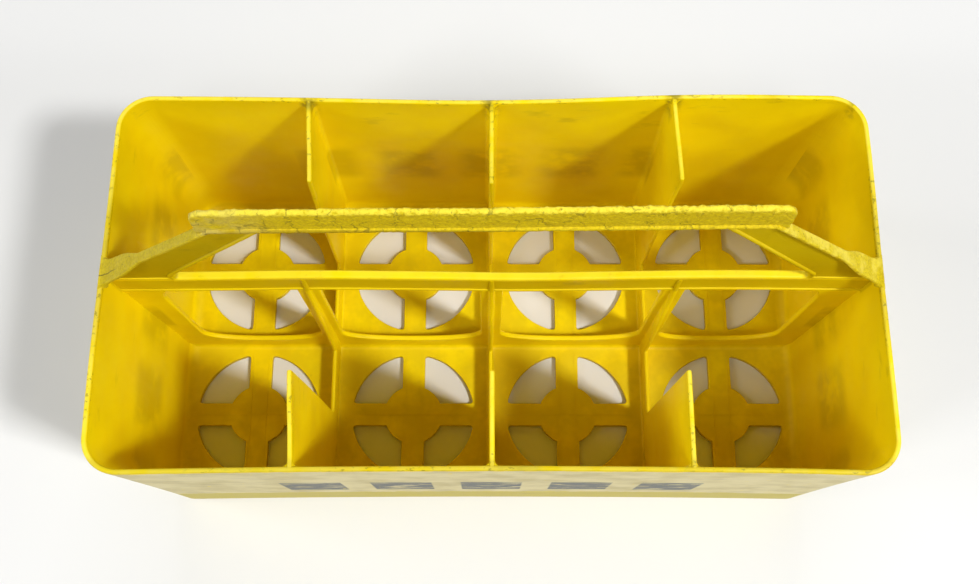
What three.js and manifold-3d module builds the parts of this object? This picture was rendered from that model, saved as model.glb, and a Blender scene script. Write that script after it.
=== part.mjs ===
// Carrier for two rows of four drink bottles, one injection moulding in polyethylene.
// Millimetres, +Z up. The origin is the middle of the underside and X runs along the handle.
import * as THREE from 'three';
import { mergeVertices } from 'three/addons/utils/BufferGeometryUtils.js';
import Module from 'manifold-3d';

const wasm = await Module();
wasm.setup();

// Cells
const CELL_PITCH = 74;
const ROW_PITCH = 70.4;
const CELLS_PER_ROW = 4;

// Outer wall, floor and rim
const RIM_HEIGHT = 118.6;
const RIM_HALF_LENGTH = 150.4;
const RIM_HALF_WIDTH = 76;
const RIM_CORNER_RADIUS = 14;
const FOOT_CORNER_RADIUS = 9;
const WALL = 2;
const FLOOR = 3;
const END_FLARE = 3;
const SIDE_FLARE = 0.9;
const SIDE_BOW = 1.8;
const FOOT_BOW = 1.2;
const FLOOR_FILLET = 2;

// Floor openings under each bottle
const RING_RADIUS = 29.2;
const HUB_RADIUS = 13.9;
const CROSS_BAR = 10.7;

// Dividers between neighbouring cells of a row
const DIVIDER = 1.9;
const PANEL_REACH_TOP = 37.4;
const PANEL_REACH_FOOT = 36.4;
const LOW_WALL_TOP = 15;
const RIB_FOOT_REACH = 6.9;
const RIB_TOP_REACH = 1.7;
const RIB_TOP = 111.4;

// Web between the two rows
const WEB = 2.4;
const WEB_TOP = 114;
const ROD = { width: 3.4, height: 3 };
const LEDGE = { width: 3.6, height: 1.5 };
const POST_HALF_WIDTH = 4.6;
const WINDOW_TOP = 98.2;
const WINDOW_SIDE_FOOT = 28;
const WINDOW_SAG = 14.5;
const WINDOW_ROUNDNESS = 2.4;
const END_WINDOW_EDGE = 134.5;
const END_WINDOW_CORNER = { across: 8, down: 14 };

// Handle
const HOLE_HALF_LENGTH_FOOT = 125.8;
const HOLE_HALF_LENGTH_TOP = 79;
const HOLE_CORNER_RADIUS = 2.5;
const HOLE_BEAD = 2;
const GUSSET = 1.8;
const ARM_FOOT = 148.5;
const FLANGE = 2.2;
const FLANGE_WIDTH = 4.2;
const FLARE_WIDTH = 10;
const FLARE_LENGTH = 26;
const GRIP_HALF_LENGTH = 100;
const GRIP_FOOT = 170.6;
const GRIP_TOP = 184.6;
const GRIP_THICKNESS = 2.1;
const GRIP_SPLAY = 1.5;
const GRIP_CORNER_RADIUS = 3;
const GRIP_EDGE_ROUND = 0.6;

// How far one solid runs into the next where they are joined
const OVERLAP = 1;
const ARC_STEPS = 8;
const SIDE_STEPS = 12;

const points = (list) => list.map(([x, y]) => new THREE.Vector2(x, y));

// A closed three.js geometry as a solid that can be joined and cut.
function solid(geometry) {
  geometry.deleteAttribute('normal');
  geometry.deleteAttribute('uv');
  const merged = mergeVertices(geometry, 1e-4);
  const vertProperties = new Float32Array(merged.attributes.position.array);
  const triVerts = new Uint32Array(merged.index.array);
  return new wasm.Manifold(new wasm.Mesh({ numProp: 3, vertProperties, triVerts }));
}

function extrude(shape, depth) {
  return new THREE.ExtrudeGeometry(shape, { depth, bevelEnabled: false, curveSegments: ARC_STEPS });
}

// An outline drawn in X and Z, with its thickness centred on the plane of the web.
function uprightPlate(shape, thickness) {
  return solid(extrude(shape, thickness).translate(0, 0, -thickness / 2).rotateX(Math.PI / 2));
}

// An outline drawn in Y and Z, with its thickness centred on x = 0.
function crossPlate(shape, thickness) {
  const geometry = extrude(shape, thickness).translate(0, 0, -thickness / 2);
  return solid(geometry.rotateX(Math.PI / 2).rotateZ(Math.PI / 2));
}

// Rounded rectangle whose long sides are stepped, so that they can bow.
function wallOutline(inset) {
  const halfX = RIM_HALF_LENGTH - inset;
  const halfY = RIM_HALF_WIDTH - inset;
  const radius = RIM_CORNER_RADIUS - inset;
  const outline = [];
  for (let corner = 0; corner < 4; corner += 1) {
    const signX = corner === 1 || corner === 2 ? -1 : 1;
    const signY = corner < 2 ? 1 : -1;
    for (let step = 0; step <= ARC_STEPS; step += 1) {
      const angle = ((corner + step / ARC_STEPS) * Math.PI) / 2;
      const x = signX * (halfX - radius) + radius * Math.cos(angle);
      const y = signY * (halfY - radius) + radius * Math.sin(angle);
      outline.push([x, y]);
    }
    if (corner % 2 === 0) {
      for (let step = 1; step < SIDE_STEPS; step += 1) {
        const along = signX * (halfX - radius) * (1 - (2 * step) / SIDE_STEPS);
        outline.push([along, signY * halfY]);
      }
    }
  }
  return new THREE.Shape(points(outline));
}

// The walls lean out towards the rim, and the long ones bow in at their middle.
function lean(geometry) {
  const position = geometry.attributes.position;
  for (let i = 0; i < position.count; i += 1) {
    const x = position.getX(i);
    const y = position.getY(i);
    const rise = position.getZ(i) / RIM_HEIGHT;
    const middle = 1 - (x / RIM_HALF_LENGTH) ** 2;
    const endScale = 1 - ((1 - rise) * END_FLARE) / RIM_HALF_LENGTH;
    const bow = (FOOT_BOW + rise * (SIDE_BOW - FOOT_BOW)) * middle;
    const sideScale = 1 - ((1 - rise) * SIDE_FLARE + bow) / RIM_HALF_WIDTH;
    position.setXY(i, x * endScale, y * sideScale);
  }
  return geometry;
}

// The upright corners of the outside are sharper at the foot than at the rim.
function sharpenFoot(geometry) {
  const centreX = RIM_HALF_LENGTH - RIM_CORNER_RADIUS;
  const centreY = RIM_HALF_WIDTH - RIM_CORNER_RADIUS;
  const position = geometry.attributes.position;
  for (let i = 0; i < position.count; i += 1) {
    const x = position.getX(i);
    const y = position.getY(i);
    const along = Math.abs(x) - centreX;
    const across = Math.abs(y) - centreY;
    if (along > -OVERLAP && across > -OVERLAP) {
      const fall = 1 - position.getZ(i) / RIM_HEIGHT;
      const push = fall * (RIM_CORNER_RADIUS - FOOT_CORNER_RADIUS);
      const outX = Math.abs(x) + push * (1 - along / RIM_CORNER_RADIUS);
      const outY = Math.abs(y) + push * (1 - across / RIM_CORNER_RADIUS);
      position.setXY(i, Math.sign(x) * outX, Math.sign(y) * outY);
    }
  }
  return geometry;
}

function block(top) {
  return solid(lean(sharpenFoot(extrude(wallOutline(0), top))));
}

// The hollow inside the wall, with a rounded edge round the floor.
function hollow() {
  const depth = RIM_HEIGHT + FLOOR_FILLET - FLOOR;
  const geometry = new THREE.ExtrudeGeometry(wallOutline(WALL), {
    depth,
    bevelThickness: FLOOR_FILLET,
    bevelSize: FLOOR_FILLET,
    bevelOffset: -FLOOR_FILLET,
    bevelSegments: 2,
    curveSegments: ARC_STEPS,
  });
  return solid(lean(geometry.translate(0, 0, FLOOR + FLOOR_FILLET)));
}

// One of the four openings between the ring, the hub and the crossed bars of a cell's floor.
function floorOpening(quarter) {
  const half = CROSS_BAR / 2;
  const ringAngle = Math.asin(half / RING_RADIUS);
  const hubAngle = Math.asin(half / HUB_RADIUS);
  const shape = new THREE.Shape();
  shape.absarc(0, 0, RING_RADIUS, ringAngle, Math.PI / 2 - ringAngle, false);
  shape.absarc(0, 0, HUB_RADIUS, Math.PI / 2 - hubAngle, hubAngle, true);
  const geometry = extrude(shape, FLOOR + 2 * OVERLAP).translate(0, 0, -OVERLAP);
  return solid(geometry.rotateZ((quarter * Math.PI) / 2));
}

function cellCentre(column) {
  return (column - (CELLS_PER_ROW - 1) / 2) * CELL_PITCH;
}

function floorOpenings() {
  const openings = [];
  for (let quarter = 0; quarter < 4; quarter += 1) {
    const opening = floorOpening(quarter);
    for (let column = 0; column < CELLS_PER_ROW; column += 1) {
      for (const side of [-1, 1]) {
        openings.push(opening.translate([cellCentre(column), (side * ROW_PITCH) / 2, 0]));
      }
    }
  }
  return wasm.Manifold.union(openings);
}

// A full-height panel from the wall, a low wall across the floor, and a rib up the web.
function divider(side) {
  const foot = FLOOR - OVERLAP;
  const shape = new THREE.Shape(points([
    [0, foot],
    [RIM_HALF_WIDTH, foot],
    [RIM_HALF_WIDTH, RIM_HEIGHT],
    [PANEL_REACH_TOP, RIM_HEIGHT],
    [PANEL_REACH_FOOT, LOW_WALL_TOP],
    [RIB_FOOT_REACH, LOW_WALL_TOP],
    [RIB_TOP_REACH, RIB_TOP],
    [0, RIB_TOP],
  ]));
  const plate = crossPlate(shape, DIVIDER);
  return side > 0 ? plate : plate.rotate([0, 0, 180]);
}

function dividers() {
  const plates = [];
  for (let gap = 1; gap < CELLS_PER_ROW; gap += 1) {
    for (const side of [-1, 1]) {
      plates.push(divider(side).translate([(gap - CELLS_PER_ROW / 2) * CELL_PITCH, 0, 0]));
    }
  }
  return wasm.Manifold.union(plates);
}

// A window in the web with a round, sagging lower edge. Its far top corner can be rounded.
function windowShape(near, far, corner) {
  const centre = (near + far) / 2;
  const half = (far - near) / 2;
  const outline = [[near, WINDOW_TOP]];
  const steps = 2 * ARC_STEPS;
  for (let step = 0; step <= steps; step += 1) {
    const angle = (step / steps) * Math.PI;
    const across = -Math.sign(Math.cos(angle)) * Math.abs(Math.cos(angle)) ** (2 / WINDOW_ROUNDNESS);
    const sag = Math.sin(angle) ** (2 / WINDOW_ROUNDNESS);
    outline.push([centre + half * across, WINDOW_SIDE_FOOT - WINDOW_SAG * sag]);
  }
  for (let step = 0; step <= ARC_STEPS; step += 1) {
    const angle = (step / ARC_STEPS) * (Math.PI / 2);
    outline.push([
      far - corner.across * (1 - Math.cos(angle)),
      WINDOW_TOP - corner.down * (1 - Math.sin(angle)),
    ]);
  }
  return new THREE.Shape(points(outline));
}

function webWindows() {
  const inner = windowShape(POST_HALF_WIDTH, CELL_PITCH - POST_HALF_WIDTH, { across: 0, down: 0 });
  const outer = windowShape(CELL_PITCH + POST_HALF_WIDTH, END_WINDOW_EDGE, END_WINDOW_CORNER);
  const right = [inner, outer].map((shape) => uprightPlate(shape, WEB + 2 * OVERLAP));
  return wasm.Manifold.union([...right, ...right.map((cut) => cut.rotate([0, 0, 180]))]);
}

function rectangle(halfX, bottom, top) {
  return new THREE.Shape(points([[-halfX, bottom], [halfX, bottom], [halfX, top], [-halfX, top]]));
}

// A thin plate with a rod along its top edge and a ledge over the windows.
function web() {
  const windows = webWindows();
  const plate = uprightPlate(rectangle(RIM_HALF_LENGTH, FLOOR - OVERLAP, WEB_TOP), WEB);
  const rodReach = HOLE_HALF_LENGTH_FOOT - HOLE_CORNER_RADIUS;
  const rod = uprightPlate(rectangle(rodReach, WEB_TOP - ROD.height, WEB_TOP), ROD.width);
  const ledgeTop = WINDOW_TOP + LEDGE.height;
  const ledge = uprightPlate(rectangle(RIM_HALF_LENGTH, WINDOW_TOP, ledgeTop), LEDGE.width);
  return plate.subtract(windows).add(rod).add(ledge);
}

// The hand hole, or with a margin the outer edge of the bead round it.
function handHole(margin) {
  const height = GRIP_FOOT - FLANGE - WEB_TOP;
  const slope = Math.atan2(height, HOLE_HALF_LENGTH_FOOT - HOLE_HALF_LENGTH_TOP);
  const radius = HOLE_CORNER_RADIUS + margin;
  const foot = WEB_TOP - margin;
  const shift = margin / Math.sin(slope) + margin / Math.tan(slope);
  const reach = HOLE_HALF_LENGTH_FOOT + shift - radius / Math.tan(slope / 2);
  const top = GRIP_FOOT - FLANGE + OVERLAP;
  const topReach = HOLE_HALF_LENGTH_TOP + margin / Math.sin(slope) - OVERLAP / Math.tan(slope);
  const shape = new THREE.Shape();
  shape.moveTo(-reach, foot);
  shape.absarc(reach, foot + radius, radius, -Math.PI / 2, Math.PI / 2 - slope, false);
  shape.lineTo(topReach, top);
  shape.lineTo(-topReach, top);
  shape.absarc(-reach, foot + radius, radius, Math.PI / 2 + slope, (3 * Math.PI) / 2, false);
  return shape;
}

// The arm's upper edge falls at 45 degrees from the foot of the grip to the rim.
function armTop(x) {
  return RIM_HEIGHT + ARM_FOOT - x;
}

const ARM_HEAD = ARM_FOOT - (GRIP_FOOT - RIM_HEIGHT);

function gussets() {
  const shape = new THREE.Shape(points([
    [-ARM_FOOT, WEB_TOP - OVERLAP],
    [ARM_FOOT, WEB_TOP - OVERLAP],
    [ARM_FOOT, RIM_HEIGHT - FLANGE],
    [ARM_HEAD, GRIP_FOOT - FLANGE],
    [-ARM_HEAD, GRIP_FOOT - FLANGE],
    [-ARM_FOOT, RIM_HEIGHT - FLANGE],
  ]));
  const bead = uprightPlate(handHole(HOLE_BEAD), ROD.width);
  const opening = uprightPlate(handHole(0), ROD.width + 2 * OVERLAP);
  return uprightPlate(shape, GUSSET).add(bead).subtract(opening);
}

// The flange on the arm's upper edge, which widens where it lands on the end wall.
function armFlange(side) {
  const length = (GRIP_FOOT - RIM_HEIGHT) * Math.SQRT2;
  const narrow = FLANGE_WIDTH / 2;
  const wide = FLARE_WIDTH / 2;
  const flareStart = length - FLARE_LENGTH;
  const shoulder = flareStart + FLARE_LENGTH * 0.3;
  const shape = new THREE.Shape();
  shape.moveTo(0, -narrow);
  shape.lineTo(flareStart, -narrow);
  shape.bezierCurveTo(shoulder, -narrow, shoulder, -wide, length + FLANGE, -wide);
  shape.lineTo(length + FLANGE, wide);
  shape.bezierCurveTo(shoulder, wide, shoulder, narrow, flareStart, narrow);
  shape.lineTo(0, narrow);
  const geometry = extrude(shape, FLANGE).translate(0, 0, -FLANGE).rotateY(Math.PI / 4);
  const flange = solid(geometry.translate(ARM_HEAD, 0, GRIP_FOOT));
  return side > 0 ? flange : flange.rotate([0, 0, 180]);
}

// The flange runs on under the grip, where the fingers press.
function gripFlange() {
  return uprightPlate(rectangle(ARM_HEAD, GRIP_FOOT - FLANGE, GRIP_FOOT), FLANGE_WIDTH);
}

// An upright plate on the flange, whose ends splay down to the arms.
function grip() {
  const inset = GRIP_EDGE_ROUND;
  const foot = GRIP_HALF_LENGTH + GRIP_SPLAY;
  const halfX = GRIP_HALF_LENGTH - GRIP_CORNER_RADIUS;
  const cornerZ = GRIP_TOP - GRIP_CORNER_RADIUS;
  const shape = new THREE.Shape();
  shape.moveTo(-ARM_HEAD, GRIP_FOOT - OVERLAP);
  shape.lineTo(ARM_HEAD, GRIP_FOOT - OVERLAP);
  shape.lineTo(foot, armTop(foot) - OVERLAP);
  shape.absarc(halfX, cornerZ, GRIP_CORNER_RADIUS, 0, Math.PI / 2, false);
  shape.absarc(-halfX, cornerZ, GRIP_CORNER_RADIUS, Math.PI / 2, Math.PI, false);
  shape.lineTo(-foot, armTop(foot) - OVERLAP);
  const geometry = new THREE.ExtrudeGeometry(shape, {
    depth: GRIP_THICKNESS - 2 * inset,
    bevelThickness: inset,
    bevelSize: inset,
    bevelOffset: -inset,
    bevelSegments: 2,
    curveSegments: ARC_STEPS / 2,
  });
  return solid(geometry.translate(0, 0, inset - GRIP_THICKNESS / 2).rotateX(Math.PI / 2));
}

function carrier() {
  const inside = dividers().add(web()).intersect(block(RIM_HEIGHT));
  const flanges = armFlange(1).add(armFlange(-1)).add(gripFlange());
  const arms = gussets().add(flanges).intersect(block(GRIP_TOP));
  const tub = block(RIM_HEIGHT).subtract(hollow()).add(inside).add(arms).add(grip());
  return tub.subtract(floorOpenings());
}

function toGeometry(manifold) {
  const { numProp, vertProperties, triVerts } = manifold.getMesh();
  const position = new Float32Array((vertProperties.length / numProp) * 3);
  for (let i = 0; i < position.length; i += 1) {
    position[i] = vertProperties[Math.floor(i / 3) * numProp + (i % 3)];
  }
  const geometry = new THREE.BufferGeometry();
  geometry.setAttribute('position', new THREE.BufferAttribute(position, 3));
  geometry.setIndex(new THREE.BufferAttribute(new Uint32Array(triVerts), 1));
  geometry.computeVertexNormals();
  return geometry;
}

const plastic = new THREE.MeshStandardMaterial({ color: 0xe3c000, roughness: 0.45, metalness: 0 });
const carrierMesh = new THREE.Mesh(toGeometry(carrier()), plastic);
carrierMesh.name = 'carrier';

const model = new THREE.Group();
model.add(carrierMesh);
export default model;
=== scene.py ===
import math

import bmesh
import bpy
from mathutils import Matrix, Vector, noise


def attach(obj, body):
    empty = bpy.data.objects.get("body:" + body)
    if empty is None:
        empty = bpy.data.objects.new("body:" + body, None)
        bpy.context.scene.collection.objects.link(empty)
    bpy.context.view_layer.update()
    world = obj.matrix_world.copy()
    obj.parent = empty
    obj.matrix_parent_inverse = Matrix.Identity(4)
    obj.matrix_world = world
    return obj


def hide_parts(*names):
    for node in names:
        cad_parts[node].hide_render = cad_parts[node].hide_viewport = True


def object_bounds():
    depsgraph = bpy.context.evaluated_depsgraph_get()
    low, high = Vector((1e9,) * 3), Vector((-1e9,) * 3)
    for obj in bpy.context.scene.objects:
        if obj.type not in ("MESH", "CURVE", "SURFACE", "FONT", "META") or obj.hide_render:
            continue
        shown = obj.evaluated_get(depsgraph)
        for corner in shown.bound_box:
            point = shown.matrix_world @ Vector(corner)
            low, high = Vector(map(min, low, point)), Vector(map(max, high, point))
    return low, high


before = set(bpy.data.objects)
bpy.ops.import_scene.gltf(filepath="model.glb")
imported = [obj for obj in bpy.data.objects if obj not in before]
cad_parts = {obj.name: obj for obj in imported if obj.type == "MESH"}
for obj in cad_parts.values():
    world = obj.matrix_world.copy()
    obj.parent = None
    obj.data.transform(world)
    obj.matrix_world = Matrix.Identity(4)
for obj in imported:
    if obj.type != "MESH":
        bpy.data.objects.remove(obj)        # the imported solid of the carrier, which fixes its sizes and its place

bl_info = {
    "name": "Bottle Carrier",
    "version": (1, 0, 0),
    "blender": (4, 5, 0),
    "location": "3D View > Sidebar > Carrier",
    "description": "Builds a weathered yellow polyethylene bottle carrier round its packed solid",
    "category": "Object",
}

MM = 0.001
PACKED_NODE = "carrier"
BODY = "root"
CAD_LOW, CAD_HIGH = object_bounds()


# Properties

def linear(hex_code):
    """An sRGB hex colour as linear red, green and blue."""
    channels = [int(hex_code[i:i + 2], 16) / 255 for i in (1, 3, 5)]
    return [c / 12.92 if c <= 0.04045 else ((c + 0.055) / 1.055) ** 2.4 for c in channels]


def length(name, millimetres, description):
    """A length property, stored in metres, with its default given in millimetres."""
    return bpy.props.FloatProperty(
        name=name, description=description, default=millimetres * MM, unit="LENGTH", precision=4
    )


def colour(name, hex_code, description):
    """A colour property with its default given as sRGB hex."""
    return bpy.props.FloatVectorProperty(
        name=name, description=description, default=linear(hex_code), subtype="COLOR",
        size=3, min=0.0, max=1.0,
    )


class CarrierSizes(bpy.types.PropertyGroup):
    """Driving sizes of the moulding."""

    cell_pitch: length("Cell pitch", 74, "Distance between bottle centres along the handle")
    row_pitch: length("Row pitch", 70.4, "Distance between the two rows of bottle centres")
    rim_height: length("Rim height", 118.6, "Height of the rim above the table")
    rim_half_width: length("Rim half width", 76, "Half the width of the rim at its corners")
    corner_radius: length("Corner radius", 14, "Outer radius of the upright corners at the rim")
    foot_corner_radius: length("Foot corner radius", 9, "Outer radius of the corners at the foot")
    wall: length("Wall", 2, "Thickness of the outer wall")
    floor: length("Floor", 3, "Thickness of the floor")
    end_flare: length("End flare", 3, "How far each end wall leans out from floor to rim")
    side_flare: length("Side flare", 0.9, "How far each long wall leans out at the corners")
    side_bow: length("Side bow", 1.8, "How far the rim of each long wall is drawn in at its middle")
    foot_bow: length("Foot bow", 1.2, "How far the foot of each long wall is drawn in at its middle")
    floor_fillet: length("Floor fillet", 5, "Radius between the floor and the wall")
    ring_radius: length("Ring radius", 29.2, "Radius of the pierced ring under a bottle")
    hub_radius: length("Hub radius", 13.9, "Radius of the solid hub under a bottle")
    cross_bar: length("Cross bar", 10.7, "Width of the crossed bars under a bottle")
    divider: length("Divider", 1.9, "Thickness of a divider between cells")
    web: length("Web", 2.4, "Thickness of the web between the rows")
    web_top: length("Web top", 114, "Height of the rod along the web's top edge")
    rod: length("Rod", 3.4, "Thickness of the rod and of the bead round the hand hole")
    gusset: length("Gusset", 1.8, "Thickness of the plate in each arm")
    flange: length("Flange", 2.2, "Thickness of the flange on the arms and under the grip")
    grip_foot: length("Grip foot", 170.6, "Height of the flange that the grip's plate stands on")
    grip_half_length: length("Grip half length", 100, "Half the length of the grip along its top")
    grip_thickness: length("Grip thickness", 2.1, "Thickness of the grip's plate")
    inner_fillet: length("Inner fillet", 1.4, "Fillet where two plates of the moulding meet")


class CarrierColours(bpy.types.PropertyGroup):
    """Colours of the finishes."""

    plastic: colour("Plastic", "#F8E000", "Moulded yellow polyethylene")
    plastic_deep: colour("Plastic, deep", "#F1D400", "Thicker patches of the same plastic")
    worn_edge: colour("Worn edge", "#F7E55A", "Edges burnished pale by handling")
    grip_face: colour("Grip face", "#DFC70D", "Weathered, dull face of the grip")
    grip_dull: colour("Grip grain", "#CBB10A", "Duller grain between the grip's crumbs")
    grip_bright: colour("Grip crest", "#F7E23C", "Rubbed crests of the grip's grain")
    bleached: colour("Bleached", "#D2C474", "Grip plastic bleached by the sun")
    # this colour is also painted shade in the corners where the dividers meet the back rim
    grime_and_painted_shade: colour("Grime", "#3A3118", "Dirt in cracks, nicks and scuffs")
    print_field: colour("Printed field", "#E9DCA8", "Cream ink screened on the outer walls")
    print_dull: colour("Printed field, dulled", "#D4C58C", "The cream ink where it is dirty")
    print_block: colour("Printed blocks", "#787A77", "Slate ink blocks on the cream field")
    # besides the print seen through, this colour is painted shade on the arm plates, under the rod, on the floor,
    # in its openings and on the lip under the grip, and dirt on the rim
    ghost: colour("Print seen through", "#8C6F00", "Shade of the printed blocks inside the wall")
    # the lower band's dull, pale tone is partly bare plastic and partly a painted reflection of the pale floor
    low_band_and_painted_reflection: colour("Lower band", "#CDBB34", "Bare, dulled plastic below the printed field")
    floor: colour("Floor", "#E4E4E3", "Pale studio floor")


# Small tools

def size(name):
    """One of the panel's sizes in millimetres, the unit of all shapes until they are finished."""
    return getattr(bpy.context.scene.carrier_sizes, name) / MM


def link(name, data):
    """An object in the scene from its data: a mesh, a light or a camera."""
    obj = bpy.data.objects.new(name, data)
    bpy.context.scene.collection.objects.link(obj)
    return obj


def from_bmesh(name, bm, material="moulded polyethylene"):
    """An object in one of the finishes, from a bmesh, which is used up."""
    bmesh.ops.recalc_face_normals(bm, faces=bm.faces)
    mesh = bpy.data.meshes.new(name)
    mesh.materials.append(finish(material))
    bm.to_mesh(mesh)
    bm.free()
    return link(name, mesh)


def stack(name, loops):
    """A closed solid from a stack of loops with the same number of points."""
    bm = bmesh.new()
    rings = [[bm.verts.new(point) for point in loop] for loop in loops]
    bm.faces.new(rings[0])
    bm.faces.new(rings[-1])
    for lower, upper in zip(rings, rings[1:]):
        for i in range(len(lower)):
            j = (i + 1) % len(lower)
            bm.faces.new((lower[i], lower[j], upper[j], upper[i]))
    return from_bmesh(name, bm)


def prism(name, outline, low, high, place):
    """A closed solid from a flat outline. place(a, b, c) turns outline and depth into x, y, z."""
    return stack(name, [[place(a, b, c) for a, b in outline] for c in (low, high)])


def in_web_plane(a, b, c):
    """Along the handle, up, and across for the depth."""
    return (a, c, b)


def in_cross_plane(a, b, c):
    """Across, up, and along the handle for the depth."""
    return (c, a, b)


def in_floor_plane(a, b, c):
    """Along the handle, across, and up for the depth."""
    return (a, b, c)


def arc(centre, radius, start, end, steps):
    """Points on an arc, angles in degrees."""
    points = []
    for step in range(steps + 1):
        angle = math.radians(start + (end - start) * step / steps)
        points.append((centre[0] + radius * math.cos(angle), centre[1] + radius * math.sin(angle)))
    return points


def eased(radius, steps=3):
    """(inset, rise) pairs up a quarter round, from the face below it to the face beside it."""
    angles = [math.pi / 2 * step / steps for step in range(steps + 1)]
    return [(radius * (1 - math.sin(angle)), radius * (1 - math.cos(angle))) for angle in angles]


def grown(outline, margin):
    """An anticlockwise outline, pushed outwards by a margin."""
    moved = []
    for before, here, after in zip(outline[-1:] + outline[:-1], outline, outline[1:] + outline[:1]):
        first = Vector((here[1] - before[1], before[0] - here[0])).normalized()
        second = Vector((after[1] - here[1], here[0] - after[0])).normalized()
        push = (first + second) * margin / (1 + first.dot(second))
        moved.append((here[0] + push.x, here[1] + push.y))
    return moved


PAST = 3                     # how far a cutting solid runs past the faces that it cuts


def cutter(name, outline, low, high, radius, place):
    """What cuts a hole through a plate from low to high, and rounds the plate's edges round it."""
    levels = [(radius, low - PAST)]
    levels += [(margin, low + rise) for margin, rise in eased(radius)]
    levels += [(margin, high - drop) for margin, drop in reversed(eased(radius))]
    levels += [(radius, high + PAST)]
    return stack(name, [
        [place(a, b, c) for a, b in grown(outline, margin)] for margin, c in levels
    ])


def bar(name, half, low, high, reach, radius):
    """A bar along the web's plane, with its four long edges rounded."""
    corners = ((1, low + radius), (1, high - radius), (-1, high - radius), (-1, low + radius))
    outline = []
    for turn, (side, centre) in enumerate(corners):
        outline += arc((side * (half - radius), centre), radius, turn * 90 - 90, turn * 90, 3)
    return prism(name, outline, -reach, reach, in_cross_plane)


def baked(obj):
    """The object with its modifiers applied."""
    graph = bpy.context.evaluated_depsgraph_get()
    mesh = bpy.data.meshes.new_from_object(obj.evaluated_get(graph))
    name = obj.name
    bpy.data.objects.remove(obj)
    return link(name, mesh)


def boolean(obj, other, operation):
    """Joins or cuts obj by other, which is used up."""
    for solid in (obj, other):
        bm = bmesh.new()
        bm.from_mesh(solid.data)
        bmesh.ops.triangulate(bm, faces=[face for face in bm.faces if len(face.verts) > 4])
        bm.to_mesh(solid.data)
        bm.free()
    modifier = obj.modifiers.new(operation, "BOOLEAN")
    modifier.solver = "MANIFOLD"
    modifier.operation = operation
    modifier.material_mode = "TRANSFER"
    modifier.object = other
    result = baked(obj)
    bpy.data.objects.remove(other)
    if not result.data.polygons:
        raise RuntimeError(f"{operation} left nothing of {result.name}")
    return result


def joined(first, *others):
    """The solids fused into one, in the order given."""
    for other in others:
        first = boolean(first, other, "UNION")
    return first


SHARP = 40                   # degrees; an edge that turns more than this gets rounded
FLAT = 0.4                   # degrees; faces that turn less than this become one first
WIDEST = 10                  # width of a rounded edge whose weight is 1


def rounded(obj, width_at):
    """Rounds the sharp edges. width_at(point) gives the width, 0 to leave the edge as it is."""
    bm = bmesh.new()
    bm.from_mesh(obj.data)
    bmesh.ops.dissolve_limit(bm, angle_limit=math.radians(FLAT), verts=bm.verts, edges=bm.edges)
    weight = bm.edges.layers.float.new("bevel_weight_edge")
    for edge in bm.edges:
        if len(edge.link_faces) == 2 and math.degrees(edge.calc_face_angle()) > SHARP:
            edge[weight] = width_at((edge.verts[0].co + edge.verts[1].co) / 2) / WIDEST
    bm.to_mesh(obj.data)
    bm.free()
    modifier = obj.modifiers.new("round", "BEVEL")
    modifier.limit_method = "WEIGHT"
    modifier.width = WIDEST
    modifier.segments = 3
    modifier.use_clamp_overlap = False
    return baked(obj)


def add(tree, kind, inputs=None, **settings):
    """A node with its settings and its inputs, each a value, or what to link from: a socket, or
    a node whose first output is meant."""
    made = tree.nodes.new(kind)
    for key, value in settings.items():
        setattr(made, key, value)
    for key, value in (inputs or {}).items():
        if isinstance(value, bpy.types.Node):
            value = value.outputs[0]
        if isinstance(value, bpy.types.NodeSocket):
            tree.links.new(value, made.inputs[key])
        else:
            made.inputs[key].default_value = value
    return made


# Geometry Nodes

def new_tree(name, inputs):
    """A geometry tree with named inputs, and its input node."""
    tree = bpy.data.node_groups.new(name, "GeometryNodeTree")
    tree.interface.new_socket("Geometry", in_out="INPUT", socket_type="NodeSocketGeometry")
    for label, kind in inputs.items():
        tree.interface.new_socket(label, in_out="INPUT", socket_type=kind)
    tree.interface.new_socket("Geometry", in_out="OUTPUT", socket_type="NodeSocketGeometry")
    return tree, add(tree, "NodeGroupInput").outputs


def end_tree(tree, geometry, material):
    """Closes a geometry tree with plain geometry and its material."""
    whole = add(tree, "GeometryNodeRealizeInstances", {"Geometry": geometry})
    coloured = add(tree, "GeometryNodeSetMaterial", {"Geometry": whole, "Material": material})
    add(tree, "NodeGroupOutput", {"Geometry": coloured})
    return tree


def grid_tree():
    """Copies a solid over a grid, and turns each further row by an angle."""
    tree, given = new_tree("copies on a grid", {
        "Columns": "NodeSocketInt", "Column pitch": "NodeSocketFloat",
        "Rows": "NodeSocketInt", "Row pitch": "NodeSocketFloat",
        "Turn": "NodeSocketFloat", "Material": "NodeSocketMaterial",
    })
    spans = []
    for count, pitch in (("Columns", "Column pitch"), ("Rows", "Row pitch")):
        gaps = add(tree, "ShaderNodeMath", {0: given[count], 1: 1.0}, operation="SUBTRACT")
        spans.append(add(tree, "ShaderNodeMath", {0: gaps, 1: given[pitch]}, operation="MULTIPLY"))
    grid = add(tree, "GeometryNodeMeshGrid", {
        "Size X": spans[0], "Size Y": spans[1],
        "Vertices X": given["Columns"], "Vertices Y": given["Rows"],
    })
    index = add(tree, "GeometryNodeInputIndex")
    row = add(tree, "ShaderNodeMath", {0: index, 1: given["Rows"]}, operation="MODULO")
    angle = add(tree, "ShaderNodeMath", {0: row, 1: given["Turn"]}, operation="MULTIPLY")
    turn = add(tree, "FunctionNodeAxisAngleToRotation", {"Axis": (0, 0, 1), "Angle": angle})
    copies = add(tree, "GeometryNodeInstanceOnPoints", {
        "Points": grid, "Instance": given["Geometry"], "Rotation": turn,
    })
    return end_tree(tree, copies, given["Material"])


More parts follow.
